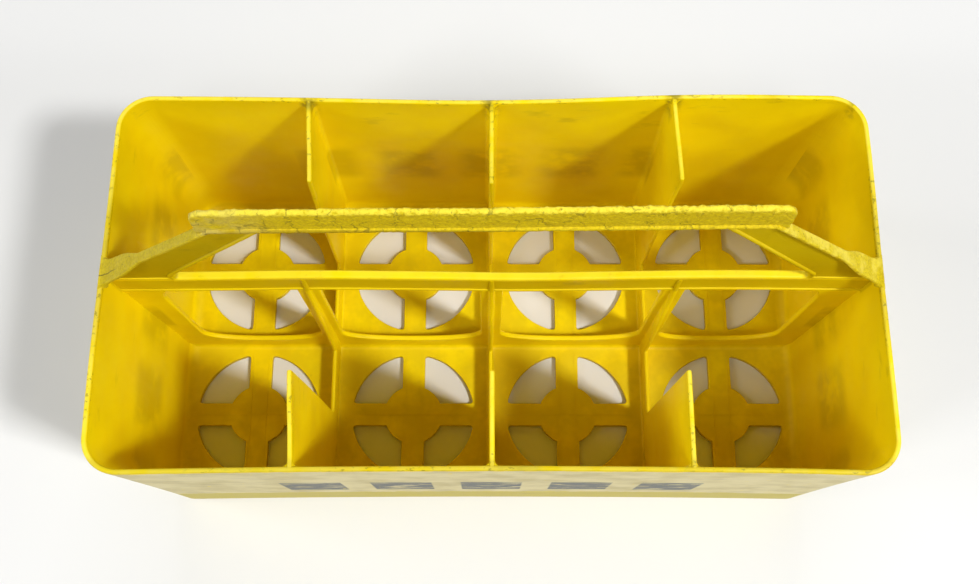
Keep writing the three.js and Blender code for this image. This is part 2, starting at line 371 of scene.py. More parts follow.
def bead_tree():
    """Sweeps a rounded rectangle along a path."""
    tree, given = new_tree("bead along a path", {
        "Width": "NodeSocketFloat", "Depth": "NodeSocketFloat", "Rounding": "NodeSocketFloat",
        "Material": "NodeSocketMaterial",
    })
    path = add(tree, "GeometryNodeMeshToCurve", {"Mesh": given["Geometry"]})
    section = add(tree, "GeometryNodeCurvePrimitiveQuadrilateral", {
        "Width": given["Width"], "Height": given["Depth"],
    })
    fillet = add(tree, "GeometryNodeFilletCurve", {
        "Curve": section, "Radius": given["Rounding"], "Count": 4,
    }, mode="POLY")
    swept = add(tree, "GeometryNodeCurveToMesh", {
        "Curve": path, "Profile Curve": fillet, "Fill Caps": True,
    })
    return end_tree(tree, swept, given["Material"])


def by_nodes(obj, tree, **inputs):
    """Runs a geometry tree on the object. Input names have _ for a space."""
    modifier = obj.modifiers.new(tree.name, "NODES")
    modifier.node_group = tree
    for socket in tree.interface.items_tree:
        key = socket.name.replace(" ", "_").lower()
        if socket.in_out == "INPUT" and key in inputs:
            modifier[socket.identifier] = inputs[key]
    return baked(obj)


def over_cells(obj):
    """Copies what stands in the middle of one cell to all of them."""
    return by_nodes(
        obj, grid_tree(), columns=4, column_pitch=size("cell_pitch"),
        rows=2, row_pitch=size("row_pitch"), turn=0.0, material=finish("moulded polyethylene"),
    )


# The tub

CORNER_STEPS = 12
SIDE_STEPS = 24
FOOT_ROUND = 1.5
RIM_ROUND = 0.85
FLOOR_EDGE_ROUND = 0.45
OPENING_CORNER = 1.8         # how far from its corner an opening's edge starts to turn
MOULD_LINE_OFFSET = 3.7      # of the two lines across a floor from the middle of its hub
MOULD_LINE_HALF = 0.22       # half the width of those lines
SEAM_HALF = 0.2              # and of the one line along the floor
MOULD_LINE_RISE = 0.2
SEAM_RISE = 0.18


def wall_outline(inset, corner_radius):
    """Rounded rectangle whose long sides are stepped, so that they can bow."""
    half_x = CAD_HIGH.x / MM - inset
    half_y = size("rim_half_width") - inset
    radius = corner_radius - inset
    outline = []
    for corner in range(4):
        sign_x = -1 if corner in (1, 2) else 1
        sign_y = 1 if corner < 2 else -1
        centre = (sign_x * (half_x - radius), sign_y * (half_y - radius))
        outline += arc(centre, radius, corner * 90, corner * 90 + 90, CORNER_STEPS)
        if corner % 2 == 0:
            for step in range(1, SIDE_STEPS):
                along = sign_x * (half_x - radius) * (1 - 2 * step / SIDE_STEPS)
                outline.append((along, sign_y * half_y))
    return outline


def lean(x, y, z):
    """The walls lean out towards the rim, and the long ones bow in at their middle."""
    half_x = CAD_HIGH.x / MM
    rise = z / size("rim_height")
    middle = 1 - (x / half_x) ** 2
    bow = size("foot_bow") + rise * (size("side_bow") - size("foot_bow"))
    drawn_in = (1 - rise) * size("side_flare") + bow * middle
    end_scale = 1 - (1 - rise) * size("end_flare") / half_x
    return (x * end_scale, y * (1 - drawn_in / size("rim_half_width")), z)


def wall_stack(name, levels, foot_corner_radius):
    """A leaning block from (inset, height) levels, with its own corner radius at the foot."""
    loops = []
    for inset, z in levels:
        rise = z / size("rim_height")
        radius = foot_corner_radius + rise * (size("corner_radius") - foot_corner_radius)
        loops.append([lean(x, y, z) for x, y in wall_outline(inset, radius)])
    return stack(name, loops)


def hollow():
    """The space inside the wall, rounded round the floor and flared over the rim's round."""
    wall = size("wall")
    rim = size("rim_height")
    levels = [(wall + inset, size("floor") + rise) for inset, rise in eased(size("floor_fillet"), 7)]
    levels += [(wall - inset, rim - drop) for inset, drop in reversed(eased(RIM_ROUND))]
    return wall_stack("hollow", levels + [(wall - RIM_ROUND, rim + PAST)], size("corner_radius"))


def turned_corner(before, corner, after):
    """A corner of an opening, rounded where the ring meets a bar."""
    here = Vector(corner)
    first = here + (Vector(before) - here).normalized() * OPENING_CORNER
    last = here + (Vector(after) - here).normalized() * OPENING_CORNER
    points = []
    for step in range(5):
        share = step / 4
        points.append(tuple(first.lerp(here, share).lerp(here.lerp(last, share), share)))
    return points


def floor_openings():
    """The four openings between ring, hub and crossed bars, under every bottle."""
    half = size("cross_bar") / 2
    ring = math.degrees(math.asin(half / size("ring_radius")))
    hub = math.degrees(math.asin(half / size("hub_radius")))
    outer = arc((0, 0), size("ring_radius"), ring, 90 - ring, 16)
    inner = arc((0, 0), size("hub_radius"), 90 - hub, hub, 6)
    outline = turned_corner(inner[-1], outer[0], outer[1]) + outer[1:-1]
    outline += turned_corner(outer[-2], outer[-1], inner[0]) + inner
    one = cutter("opening", outline, 0, size("floor"), FLOOR_EDGE_ROUND, in_floor_plane)
    four = by_nodes(
        one, grid_tree(), columns=1, column_pitch=0.0, rows=4, row_pitch=0.0,
        turn=math.pi / 2, material=finish("moulded polyethylene"),
    )
    return over_cells(four)


def tub():
    """The open box: wall, rim and pierced floor, with its edges rounded."""
    top = [(inset, size("rim_height") - drop) for inset, drop in reversed(eased(RIM_ROUND))]
    box = wall_stack("carrier_body", eased(FOOT_ROUND) + top, size("foot_corner_radius"))
    box = boolean(box, hollow(), "DIFFERENCE")
    return boolean(box, floor_openings(), "DIFFERENCE")


def mould_lines():
    """Thin raised lines across every cell's floor, left by the joints of the mould."""
    top = size("floor")
    reach = size("ring_radius") + 1
    lines = []
    for middle in (-MOULD_LINE_OFFSET, MOULD_LINE_OFFSET):
        left, right = middle - MOULD_LINE_HALF, middle + MOULD_LINE_HALF
        outline = [(left, -reach), (right, -reach), (right, reach), (left, reach)]
        low, high = top - MOULD_LINE_RISE, top + MOULD_LINE_RISE
        lines.append(prism("line", outline, low, high, in_floor_plane))
    outline = [(-reach, -SEAM_HALF), (reach, -SEAM_HALF), (reach, SEAM_HALF), (-reach, SEAM_HALF)]
    # its foot is a little lower than the others', so that no two faces lie in one plane
    lines.append(prism("line", outline, top - 0.21, top + SEAM_RISE, in_floor_plane))
    return over_cells(joined(*lines))


# Dividers and web

PANEL_REACH_TOP = 37.4       # where the panel's free edge stands at the rim, from the web's plane
PANEL_REACH_FOOT = 36.4
LOW_WALL_TOP = 15
RIB_FOOT_REACH = 6.9
RIB_TOP_REACH = 1.7
RIB_TOP = 111.4
POST_HALF_WIDTH = 4.6
WINDOW_TOP = 98.2
WINDOW_SIDE_FOOT = 28
WINDOW_SAG = 14.5
WINDOW_ROUNDNESS = 2.4       # 2 makes the sagging edge half an ellipse, and more a squarer one
END_WINDOW_EDGE = 134.5
END_WINDOW_CORNER = (8, 14)  # how far along and down an end window's outer top corner is rounded
WINDOW_EDGE_ROUND = 0.7
LEDGE = (3.6, 1.5)           # thickness and height of the ledge over the windows
LEDGE_EDGE_ROUND = 0.45
WEB_EDGE_ROUND = 0.5
EMBED = 0.6                  # how far a joined piece runs into its neighbour
FILLET_SINK = 0.02           # and how far a fillet's round sinks into the faces that it joins
DIVIDER_START = 0.4          # from the web's plane, inside the web
DIVIDER_END = 75             # inside the long wall
DIVIDER_DROP = 0.15          # how far below the rim the dividers end
DIVIDER_EDGE_ROUND = 0.75
WEB_RIB_FILLET = 0.9         # between the dividers and the web
WALL_FILLET = 2.2            # between the dividers and the long walls
WALL_FILLET_DROP = 1.2       # how far below the rim that fillet ends
WEB_FOOT_FILLET = 2.4        # between the web and the floor


def fillet_bar(name, start, end, across, out, radius):
    """A concave fillet along a straight corner, whose two faces run along across and out."""
    start, end, across, out = (Vector(v) for v in (start, end, across, out))
    profile = [(-EMBED, -EMBED), (radius, -EMBED)]
    profile += [(a - FILLET_SINK, b - FILLET_SINK) for a, b in eased(radius, 5)]
    profile.append((-EMBED, radius))
    return stack(name, [
        [foot + across * a + out * b for a, b in profile] for foot in (start, end)
    ])


def divider():
    """A full-height panel at the wall, a low wall over the floor and a rib up the web."""
    foot = size("floor") - 1
    half = size("divider") / 2
    rim = size("rim_height") - DIVIDER_DROP
    web = size("web") / 2
    outline = [
        (DIVIDER_START, foot), (DIVIDER_END, foot), (DIVIDER_END, rim), (PANEL_REACH_TOP, rim),
        (PANEL_REACH_FOOT, LOW_WALL_TOP), (RIB_FOOT_REACH, LOW_WALL_TOP), (RIB_TOP_REACH, RIB_TOP),
        (DIVIDER_START, RIB_TOP),
    ]

    def width_at(point):
        shows = 1 < point.y < DIVIDER_END - 1 and point.z > foot + 1
        return DIVIDER_EDGE_ROUND if shows else 0

    plate = rounded(prism("divider", outline, -half, half, in_cross_plane), width_at)
    for side in (-1, 1):
        corner = side * half
        across = (side, 0, 0)
        low = (corner, 1.5, size("floor"))
        far = (corner, 73, size("floor"))
        foot_fillet = fillet_bar("foot", low, far, across, (0, 0, 1), size("inner_fillet"))
        low = (corner, web, size("floor"))
        high = (corner, web, WINDOW_TOP)
        web_fillet = fillet_bar("web", low, high, across, (0, 1, 0), WEB_RIB_FILLET)
        plate = joined(plate, foot_fillet, web_fillet)
    return plate


def dividers():
    """Three dividers in each row; the back row's face the other way."""
    return by_nodes(
        divider(), grid_tree(), columns=3, column_pitch=size("cell_pitch"), rows=2,
        row_pitch=0.0, turn=math.pi, material=finish("moulded polyethylene"),
    )


def wall_fillets():
    """The upright fillets between the dividers and the long walls."""
    face = size("rim_half_width") - size("wall")
    heights = (size("floor"), size("rim_height") - WALL_FILLET_DROP)
    bars = []
    for column in (-1, 0, 1):
        for row in (-1, 1):
            for side in (-1, 1):
                x = column * size("cell_pitch") + side * size("divider") / 2
                ends = [(x, lean(x, row * face, z)[1], z) for z in heights]
                bars.append(fillet_bar("wall", *ends, (side, 0, 0), (0, -row, 0), WALL_FILLET))
    return joined(*bars)


def window_outline(near, far, corner):
    """A window with a round, sagging lower edge. Its far top corner can be rounded."""
    centre = (near + far) / 2
    half = (far - near) / 2
    outline = [(near, WINDOW_TOP)]
    for step in range(41):
        angle = step / 40 * math.pi
        cosine = math.cos(angle)
        across = -math.copysign(abs(cosine) ** (2 / WINDOW_ROUNDNESS), cosine)
        sag = abs(math.sin(angle)) ** (2 / WINDOW_ROUNDNESS)
        outline.append((centre + half * across, WINDOW_SIDE_FOOT - WINDOW_SAG * sag))
    if corner:
        for step in range(13):
            angle = step / 12 * math.pi / 2
            x = far - corner[0] * (1 - math.cos(angle))
            outline.append((x, WINDOW_TOP - corner[1] * (1 - math.sin(angle))))
    else:
        outline.append((far, WINDOW_TOP))
    return outline


def web_windows():
    """The outlines of the four windows, two of them mirrored."""
    pitch = size("cell_pitch")
    right = (
        window_outline(POST_HALF_WIDTH, pitch - POST_HALF_WIDTH, None),
        window_outline(pitch + POST_HALF_WIDTH, END_WINDOW_EDGE, END_WINDOW_CORNER),
    )
    return right + tuple([(-x, z) for x, z in reversed(outline)] for outline in right)


def web():
    """The thin plate between the rows, with its windows, its ledge and fillets along its foot."""
    half = size("web") / 2
    reach = CAD_HIGH.x / MM - 1
    plate = bar("web", half, size("floor") - 1, size("web_top"), reach, WEB_EDGE_ROUND)
    for outline in web_windows():
        window = cutter("window", outline, -half, half, WINDOW_EDGE_ROUND, in_web_plane)
        plate = boolean(plate, window, "DIFFERENCE")
    thickness, height = LEDGE
    top = WINDOW_TOP + height
    plate = joined(plate, bar("ledge", thickness / 2, WINDOW_TOP, top, reach, LEDGE_EDGE_ROUND))
    for side in (-1, 1):
        start = (-reach, side * half, size("floor"))
        end = (reach, side * half, size("floor"))
        fillet = fillet_bar("foot", start, end, (0, side, 0), (0, 0, 1), WEB_FOOT_FILLET)
        plate = joined(plate, fillet)
    return plate


# Arms and hand hole

HOLE_HALF_LENGTH_FOOT = 125.8
HOLE_HALF_LENGTH_TOP = 79
HOLE_CORNER_RADIUS = 2.5
HOLE_BEAD = 2.0
BEAD_EDGE_ROUND = 0.95
ROD_HEIGHT = 3
ROD_DROP = 0.3               # how far below the web's top the rod's own bar ends
ROD_EDGE_ROUND = 0.7
ARM_FOOT = 148.5             # from the middle, where the arm's upper edge meets the rim
ARM_FLANGE = 1.7             # thickness of the flange along the arms
FLANGE_EDGE_ROUND = 0.55
FLANGE_LANDING = 0.35        # below this distance from the arm's foot the flange lies flat
# distance from the arm's foot and half width of the flange there
FLANGE_WIDTHS = (
    (-4, 7.4), (-1, 6.2), (2, 5.1), (5, 4.7), (14, 4.5),
    (17, 4.1), (20, 3.4), (23, 2.6), (26, 2.1), (78, 2.05),
)


def hand_hole(margin):
    """The hand hole, or with a margin a line outside it, open under the grip."""
    height = size("grip_foot") - size("flange") - size("web_top")
    slope = math.atan2(height, HOLE_HALF_LENGTH_FOOT - HOLE_HALF_LENGTH_TOP)
    radius = HOLE_CORNER_RADIUS + margin
    shift = margin / math.sin(slope) + margin / math.tan(slope)
    reach = HOLE_HALF_LENGTH_FOOT + shift - radius / math.tan(slope / 2)
    top = size("grip_foot") - size("flange") + 1
    top_reach = HOLE_HALF_LENGTH_TOP + margin / math.sin(slope) - 1 / math.tan(slope)
    turned = math.degrees(slope)
    centre = size("web_top") - margin + radius
    right = arc((reach, centre), radius, -90, 90 - turned, 10) + [(top_reach, top)]
    left = [(-x, z) for x, z in reversed(right)]
    return left + right


def path(name, points):
    """A line of edges in the web's plane."""
    mesh = bpy.data.meshes.new(name)
    edges = [(i, i + 1) for i in range(len(points) - 1)]
    mesh.from_pydata([(x, 0, z) for x, z in points], edges, [])
    return link(name, mesh)


def arm_head():
    """Where the arm's sloping edge, at 45 degrees, reaches the foot of the grip."""
    return ARM_FOOT - (size("grip_foot") - size("rim_height"))


def arms():
    """The plate of both arms with the bead round the hand hole and the rod under it."""
    half = size("gusset") / 2
    web_top = size("web_top")
    foot = size("rim_height") - size("flange") / 2
    top = size("grip_foot") - size("flange") / 2
    outline = [
        (-ARM_FOOT, web_top - 1), (ARM_FOOT, web_top - 1), (ARM_FOOT, foot),
        (arm_head(), top), (-arm_head(), top), (-ARM_FOOT, foot),
    ]
    plate = prism("arms", outline, -half, half, in_web_plane)
    opening = prism("opening", hand_hole(HOLE_BEAD / 2), -half - PAST, half + PAST, in_web_plane)
    plate = boolean(plate, opening, "DIFFERENCE")
    bead = by_nodes(
        path("bead", hand_hole(HOLE_BEAD / 2)), bead_tree(), width=size("rod"),
        depth=HOLE_BEAD, rounding=BEAD_EDGE_ROUND, material=finish("moulded polyethylene"),
    )
    reach = HOLE_HALF_LENGTH_FOOT - HOLE_CORNER_RADIUS
    low, high = web_top - ROD_HEIGHT, web_top - ROD_DROP
    return joined(plate, bead, bar("rod", size("rod") / 2, low, high, reach, ROD_EDGE_ROUND))


def flange_half_width(distance):
    """Half the flange's width at a distance from the arm's foot."""
    for (near, wide), (far, narrow) in zip(FLANGE_WIDTHS, FLANGE_WIDTHS[1:]):
        if distance <= far:
            share = max(0.0, (distance - near) / (far - near))
            return wide + (narrow - wide) * share
    return FLANGE_WIDTHS[-1][1]


def flange(side):
    """The flange on an arm's upper edge, which widens and lies flat where it lands on the rim."""
    rise = math.sqrt(0.5)
    length_along = (size("grip_foot") - size("rim_height")) / rise
    distances = [*range(FLANGE_WIDTHS[0][0], math.ceil(length_along)), length_along]
    front = [(distance, flange_half_width(distance)) for distance in distances]
    outline = front + [(distance, -half) for distance, half in reversed(front)]

    def place(distance, across, depth):
        x = ARM_FOOT - (distance + depth) * rise
        z = size("rim_height") + (max(distance, FLANGE_LANDING) - depth) * rise
        return (side * x, across, z)

    return rounded(prism("flange", outline, 0, ARM_FLANGE, place), lambda point: FLANGE_EDGE_ROUND)


# Fusing, bending and finishing

PLATES_INSET = 1             # how far inside the wall's outer face the dividers and the web end
FLANGES_INSET = 0.2          # and the flanges of the arms
RIM_LEAN = 1.7               # the whole rim leans towards the front by this much
WEB_WAVE = 0.42              # the web's top waves from side to side, once in WAVE_LENGTH
WAVE_LENGTH = 160
WAVE_START = -20             # where along the handle the wave starts
WEB_SHIFT = 0.13             # how far back the line lies that it waves about
GRIP_TURN = 0.86             # the grip is turned in plan, its left end to the front
GRIP_BOW = 0.3               # and its middle is bowed to the back
# how far the free edge of a panel bends, by the panel's column and row
PANEL_BENDS = {(-1, -1): -1.8, (-1, 1): 1.9, (1, 1): 1.3}
UNEVEN = 0.2                 # how far all of it is out of true besides, most at the rim
UNEVEN_LENGTHS = (45, 45, 70)
# where the rim is pushed out of line, by how much and over what reach
RIM_DENTS = (
    ((85, 74), (0, 2.6), 60), ((-90, 74), (0, 1.0), 60), ((150, 50), (1.1, 0), 40),
    ((150, -40), (0.6, 0), 45), ((-150, -40), (-0.9, 0), 45),
)
CUT_STEP = 10                # spacing of the cuts that let flat faces bend
CUT_SPANS = ((0, -150, 150), (1, -70, 70), (2, 10, 170))     # axis, first and last cut
CUT_SHIFT = 0.37             # keeps the cuts off the moulding's own edges
ON_CUT = 1e-3                # a point nearer to a cut than this lies on it
SAME_PLACE = 1e-4            # and points nearer to each other than this are one
SHADING_ANGLE = 38           # degrees; an edge that turns more than this is shaded sharp


def smooth(value):
    """Eases a value from 0 to 1."""
    value = min(1.0, max(0.0, value))
    return value * value * (3 - 2 * value)


def settled(co):
    """Where a point of the straight moulding ends up in this old, slightly warped one."""
    rise = min(1.0, co.z / size("rim_height"))
    outward = smooth((abs(co.y) - 4) / 60)                   # 0 at the web and 1 at the walls
    along = co.x / size("grip_half_length")
    web = WEB_SHIFT - WEB_WAVE * math.sin(2 * math.pi * (co.x - WAVE_START) / WAVE_LENGTH)
    grip = GRIP_TURN * along + GRIP_BOW * (1 - along * along)
    handle = smooth((co.z - size("rim_height")) / 50)        # 0 at the rim and 1 at the grip
    middle = web * (1 - handle) + grip * handle
    x = co.x
    y = co.y + rise ** 1.5 * ((1 - outward) * middle - outward * RIM_LEAN)
    for (at_x, at_y), (push_x, push_y), reach in RIM_DENTS:
        near = math.exp(-((co.x - at_x) ** 2 + (co.y - at_y) ** 2) / reach ** 2) * rise ** 1.5
        x += push_x * near
        y += push_y * near
    for (column, row), bend in PANEL_BENDS.items():
        if abs(co.x - column * size("cell_pitch")) < 4 and co.y * row > 30:
            free = smooth((74 - abs(co.y)) / 37)             # 0 at the wall, 1 at the free edge
            x += bend * rise ** 2 * free
    wave = noise.noise(Vector([place / across for place, across in zip(co, UNEVEN_LENGTHS)]))
    return Vector((x + UNEVEN * wave * rise, y + UNEVEN * wave * rise, co.z))


def cut_up(bm):
    """Cuts the mesh by evenly spaced planes along each axis, and merges what is flat between."""
    bmesh.ops.triangulate(bm, faces=bm.faces)
    planes = [
        (axis, place + CUT_SHIFT)
        for axis, low, high in CUT_SPANS
        for place in range(low, high + 1, CUT_STEP)
    ]
    for axis, place in planes:
        point = Vector((0, 0, 0))
        point[axis] = place
        normal = Vector((0, 0, 0))
        normal[axis] = 1
        bmesh.ops.bisect_plane(
            bm, geom=bm.verts[:] + bm.edges[:] + bm.faces[:], dist=SAME_PLACE,
            plane_co=point, plane_no=normal,
        )

    def on_cut(edge):
        ends = [vert.co for vert in edge.verts]
        return any(all(abs(end[axis] - place) < ON_CUT for end in ends) for axis, place in planes)

    loose = [edge for edge in bm.edges if not on_cut(edge)]
    bmesh.ops.dissolve_limit(bm, angle_limit=math.radians(0.3), verts=bm.verts, edges=loose)


def finished(obj):
    """Settles the shape, scales it to metres, smooths its shading and hands it to the frame."""
    for vertex in obj.data.vertices:
        vertex.co = settled(vertex.co)
    obj.data.transform(Matrix.Scale(MM, 4))
    obj.data.shade_smooth()
    obj.data.set_sharp_from_angle(angle=math.radians(SHADING_ANGLE))
    weighted = obj.modifiers.new("even shading", "WEIGHTED_NORMAL")
    weighted.keep_sharp = True
    weighted.mode = "FACE_AREA_WITH_ANGLE"
    obj = baked(obj)
    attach(obj, BODY)
    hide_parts(PACKED_NODE)
    return obj


def fused():
    """Tub, dividers, web, arms and flanges joined into one solid."""
    radius = size("corner_radius")
    levels = [(PLATES_INSET, 0.5), (PLATES_INSET, size("rim_height") + 2)]
    plates = joined(dividers(), wall_fillets(), web())
    plates = boolean(plates, wall_stack("limit", levels, radius), "INTERSECT")
    levels = [(FLANGES_INSET, 100), (FLANGES_INSET, 190)]
    flanges = joined(flange(-1), flange(1))
    flanges.data.materials[0] = finish("weathered polyethylene")
    flanges = boolean(flanges, wall_stack("limit", levels, radius), "INTERSECT")
    lines = boolean(mould_lines(), floor_openings(), "DIFFERENCE")
    return joined(tub(), lines, plates, arms(), flanges)


def mark_printed_wall(mesh):
    """Gives the faces outside the wall, below its rim, the printed finish."""
    mesh.materials.append(finish("screen-printed polyethylene"))
    slot = len(mesh.materials) - 1
    low = FOOT_ROUND + 0.1
    high = size("rim_height") - 0.9
    for face in mesh.polygons:
        centre = face.center
        # at the walls, and facing away from the middle
        outer = abs(centre.x) > 142 or abs(centre.y) > 66
        outward = centre.x * face.normal.x / 145 + centre.y * face.normal.y / 71 > 0.4
        if outer and outward and low < centre.z < high:
            face.material_index = slot


class MakeCarrierBody(bpy.types.Operator):
    """Tub, dividers, web and arms, fused as one moulding"""

    bl_idname = "carrier.body"
    bl_label = "Carrier body"

    def execute(self, context):
        body = fused()
        bm = bmesh.new()
        bm.from_mesh(body.data)
        bmesh.ops.remove_doubles(bm, verts=bm.verts, dist=SAME_PLACE)
        cut_up(bm)
        bm.to_mesh(body.data)
        bm.free()
        mark_printed_wall(body.data)
        body = finished(body)
        return {"FINISHED"}


# Grip

GRIP_TOP = CAD_HIGH.z / MM
GRIP_SPLAY = 1.5             # how much longer the plate is at its foot, at each end
GRIP_CORNER_RADIUS = 5
GRIP_EDGE_ROUND = 0.98
GRIP_EMBED = 0.6             # how far the plate runs into the flange under it
FINE = 0.45                  # spacing of the grip's mesh, fine enough for its crumbled skin
LIP_SIDES = 28
LIP_ROUNDNESS = 0.6          # 1 gives the lip a round section and 0 a square one
LUMPS = (0.12, 7)            # depth and size of the skin's lumps, coarse grain and fine grain
COARSE_GRAIN = (0.16, 1.6)
FINE_GRAIN = (0.07, 0.8)
CREST_GRAIN = 1.6            # how much deeper the grain gets along the grip's crest


def slab(name, front, back):
    """A closed solid between two grids of points with the same rows and columns."""
    bm = bmesh.new()
    grids = [[[bm.verts.new(co) for co in row] for row in grid] for grid in (front, back)]
    rows = len(front)
    columns = len(front[0])
    for grid in grids:
        for i in range(rows - 1):
            for j in range(columns - 1):
                bm.faces.new((grid[i][j], grid[i][j + 1], grid[i + 1][j + 1], grid[i + 1][j]))
    border = [(0, j) for j in range(columns)]
    border += [(i, columns - 1) for i in range(1, rows)]
    border += [(rows - 1, j) for j in range(columns - 2, -1, -1)]
    border += [(i, 0) for i in range(rows - 2, 0, -1)]
    first, second = grids
    for (a, b), (c, d) in zip(border, border[1:] + border[:1]):
        bm.faces.new((first[a][b], first[c][d], second[c][d], second[a][b]))
    return from_bmesh(name, bm)


def from_edge(length_across):
    """Distances from an edge, close together where it is rounded."""
    distances = [GRIP_EDGE_ROUND * share for share in (0, 0.06, 0.22, 0.5, 1)]
    count = round((length_across - GRIP_EDGE_ROUND) / FINE)
    step = (length_across - GRIP_EDGE_ROUND) / count
    return distances + [GRIP_EDGE_ROUND + step * i for i in range(1, count + 1)]


def grip_place(along, down, height):
    """A point in the grip's outline, from -1 to 1 along it and so far down from its top."""
    half = size("grip_half_length")
    foot_x = abs(along) * (half + GRIP_SPLAY)
    foot_z = min(size("grip_foot"), size("rim_height") + ARM_FOOT - foot_x) - GRIP_EMBED
    flat = half - GRIP_CORNER_RADIUS
    reach = abs(along) * (flat + GRIP_CORNER_RADIUS * math.pi / 2)
    turn = max(0.0, reach - flat) / GRIP_CORNER_RADIUS
    top_x = min(reach, flat) + GRIP_CORNER_RADIUS * math.sin(turn)
    top_z = GRIP_TOP - GRIP_CORNER_RADIUS * (1 - math.cos(turn))
    share = down / height
    x = top_x + (foot_x - top_x) * share
    return math.copysign(x, along), top_z + (foot_z - top_z) * share


def grip_plate():
    """The upright plate, with its top and ends rounded."""
    height = GRIP_TOP - size("grip_foot") + GRIP_EMBED
    half_length = size("grip_half_length")
    half = size("grip_thickness") / 2
    right = [1 - distance / half_length for distance in from_edge(half_length)]
    alongs = [-along for along in right] + right[::-1][1:]
    sides = []
    for side in (-1, 1):
        rows = []
        for down in from_edge(height):
            row = []
            for along in alongs:
                edge = min(down, (1 - abs(along)) * half_length, GRIP_EDGE_ROUND)
                drop = GRIP_EDGE_ROUND - edge
                round_off = GRIP_EDGE_ROUND - math.sqrt(GRIP_EDGE_ROUND ** 2 - drop ** 2)
                x, z = grip_place(along, down, height)
                row.append(Vector((x, side * (half - round_off), z)))
            rows.append(row)
        sides.append(rows)
    return slab("grip", *sides)


def grip_lip():
    """The flange under the plate, whose front and back edges show as lips."""
    half_y = flange_half_width(FLANGE_WIDTHS[-1][0])
    half_z = size("flange") / 2
    reach = arm_head() - 0.3
    count = round(2 * reach / FINE)
    loops = []
    for i in range(count + 1):
        loop = []
        for step in range(LIP_SIDES):
            angle = 2 * math.pi * step / LIP_SIDES
            y = math.copysign(abs(math.cos(angle)) ** LIP_ROUNDNESS, math.cos(angle)) * half_y
            z = math.copysign(abs(math.sin(angle)) ** LIP_ROUNDNESS, math.sin(angle)) * half_z
            loop.append(Vector((-reach + 2 * reach * i / count, y, size("grip_foot") - half_z + z)))
        loops.append(loop)
    return stack("lip", loops)


def crumble(obj):
    """Pushes the skin in and out along its normals, most of all along the grip's crest."""
    bm = bmesh.new()
    bm.from_mesh(obj.data)
    bm.normal_update()

    def depth(co, pattern, shift=(0, 0, 0)):
        deepest, across = pattern
        return deepest * noise.noise(co / across + Vector(shift))

    moved = []
    for vert in bm.verts:
        co = vert.co
        crest = 1 + CREST_GRAIN * smooth((co.z - GRIP_TOP + 1.8) / 1.2)
        grain = depth(co, COARSE_GRAIN) + depth(co, FINE_GRAIN, (9, 4, 7))
        moved.append(co + vert.normal * (grain * crest + depth(co, LUMPS, (31, 7, 3))))
    for vert, co in zip(bm.verts, moved):
        vert.co = co
    bm.to_mesh(obj.data)
    bm.free()
    return obj


class MakeCarrierGrip(bpy.types.Operator):
    """Grip plate and its lips, with a crumbled, crazed skin"""

    bl_idname = "carrier.grip"
    bl_label = "Grip"

    def execute(self, context):
        grip = boolean(crumble(grip_plate()), crumble(grip_lip()), "UNION")
        for slot in grip.material_slots:
            slot.material = finish("weathered polyethylene")
        grip = finished(grip)
        return {"FINISHED"}


# Materials

PLASTIC_IOR = 1.51           # of polyethylene
WALL_WAVE = 24               # length of the waves that cooling leaves in a moulded wall
WALL_WAVE_HEIGHT = 0.4
# The real grain of these skins is about 0.2 mm, too fine to show in the render, so it is coarser
SKIN_GRAIN = 0.8
DRY_GRAIN = 0.7              # on the ink and on the weathered plastic
BLOCK_PITCH = 37             # centre to centre of the printed blocks along a wall
BLOCK_WIDTH = 25
BLOCK_LOW = 40
BLOCK_HIGH = 72
BLOCK_REACH = 88             # how far from a wall's middle the last block can reach


def new_material(name):
    """An empty material and what its patterns read: the place on the piece in millimetres, its
    x, y and z, and its distances from the two upright middle planes."""
    made = bpy.data.materials.new(name)
    made.use_nodes = True
    tree = made.node_tree
    tree.nodes.clear()
    place = add(tree, "ShaderNodeTexCoord").outputs["Object"]
    where = add(tree, "ShaderNodeVectorMath", {0: place, "Scale": 1 / MM}, operation="SCALE")
    apart = add(tree, "ShaderNodeVectorMath", {0: where}, operation="ABSOLUTE")
    near = add(tree, "ShaderNodeSeparateXYZ", {0: where})
    far = add(tree, "ShaderNodeSeparateXYZ", {0: apart})
    return made, tree, where, list(near.outputs), list(far.outputs)[:2]


def product(tree, first, *others):
    """Masks and numbers multiplied together."""
    for other in others:
        first = add(tree, "ShaderNodeMath", {0: first, 1: other}, operation="MULTIPLY")
    return first


def greatest(tree, first, *others):
    """The strongest of the masks at every place."""
    for other in others:
        first = add(tree, "ShaderNodeMath", {0: first, 1: other}, operation="MAXIMUM")
    return first


def mask(tree, *fades):
    """Smooth fades multiplied together. Each is a value, where its fade starts and ends and,
    unless they are 0 and 1, how strong the mask is there."""
    faded = []
    for value, low, high, *strengths in fades:
        start, end = strengths or (0.0, 1.0)
        faded.append(add(tree, "ShaderNodeMapRange", {
            0: value, 1: low, 2: high, 3: start, 4: end,
        }, interpolation_type="SMOOTHSTEP"))
    return product(tree, *faded)


def patches(tree, where, millimetres, low, high, stretch=(1, 1, 1), detail=3.0):
    """A mask of random patches of the given size, in mm, 0 below low and 1 above high."""
    stretched = add(tree, "ShaderNodeVectorMath", {
        0: where, 1: tuple(1 / (millimetres * factor) for factor in stretch),
    }, operation="MULTIPLY")
    pattern = add(tree, "ShaderNodeTexNoise", {
        "Vector": stretched, "Scale": 1.0, "Detail": detail, "Roughness": 0.6,
    })
    return mask(tree, (pattern, low, high))


def coats(tree, base, *layers):
    """Coats laid over a base colour, each a mask and a colour: a socket or linear red, green
    and blue."""
    for share, over in layers:
        under, over = (c if isinstance(c, bpy.types.NodeSocket) else (*c, 1) for c in (base, over))
        mixed = add(tree, "ShaderNodeMix", {0: share, 6: under, 7: over}, data_type="RGBA")
        base = mixed.outputs[2]
    return base


